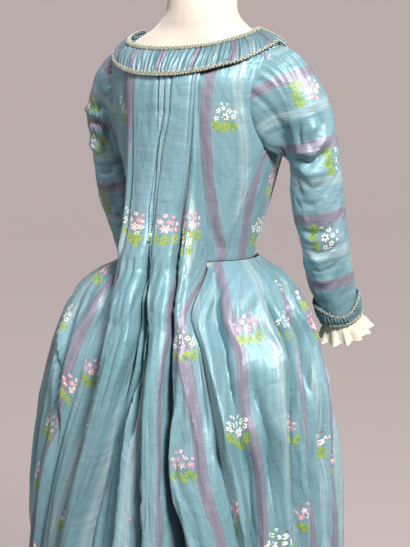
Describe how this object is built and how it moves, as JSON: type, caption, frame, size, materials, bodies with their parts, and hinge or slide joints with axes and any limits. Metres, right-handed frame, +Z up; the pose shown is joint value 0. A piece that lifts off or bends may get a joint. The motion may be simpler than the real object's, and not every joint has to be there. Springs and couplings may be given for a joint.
{
  "type": "robe a la francaise on limbless dress form",
  "caption": "Eighteenth-century sack-back silk gown with box-pleated back, long sleeves with ruched cuffs and a full skirt, worn on a limbless dress form with pole and round base.",
  "frame": {"origin": "centre of the stand base's underside, on the floor", "axes": "+Z up, -Y the way the wearer faces, +X the wearer's left"},
  "size_m": [0.6109, 0.4786, 1.485],
  "materials": {
    "taffeta": "shot silk taffeta, pale blue with mauve and grey-white stripes and brocaded flower sprays",
    "lace": "fine cream gauze lace",
    "braid": "looped silk gimp, cream and grey-blue",
    "form_cover": "smooth cotton jersey cover",
    "stand_metal": "dark grey satin paint"
  },
  "bodies": {
    "root": {"dress_form": "form_cover", "stand_pole": "stand_metal", "stand_base": "stand_metal", "sack_back": "taffeta", "skirt_left": "taffeta", "skirt_right": "taffeta", "petticoat_front": "taffeta", "bodice_back_left": "taffeta", "bodice_back_right": "taffeta", "bodice_front_left": "taffeta", "bodice_front_right": "taffeta", "stomacher": "taffeta", "sleeve_left": "taffeta", "sleeve_right": "taffeta", "cuff_left": "taffeta", "cuff_right": "taffeta", "lace_left": "lace", "lace_right": "lace", "neck_band": "taffeta", "braid_upper": "braid", "braid_lower": "braid"}
  },
  "joints": []
}
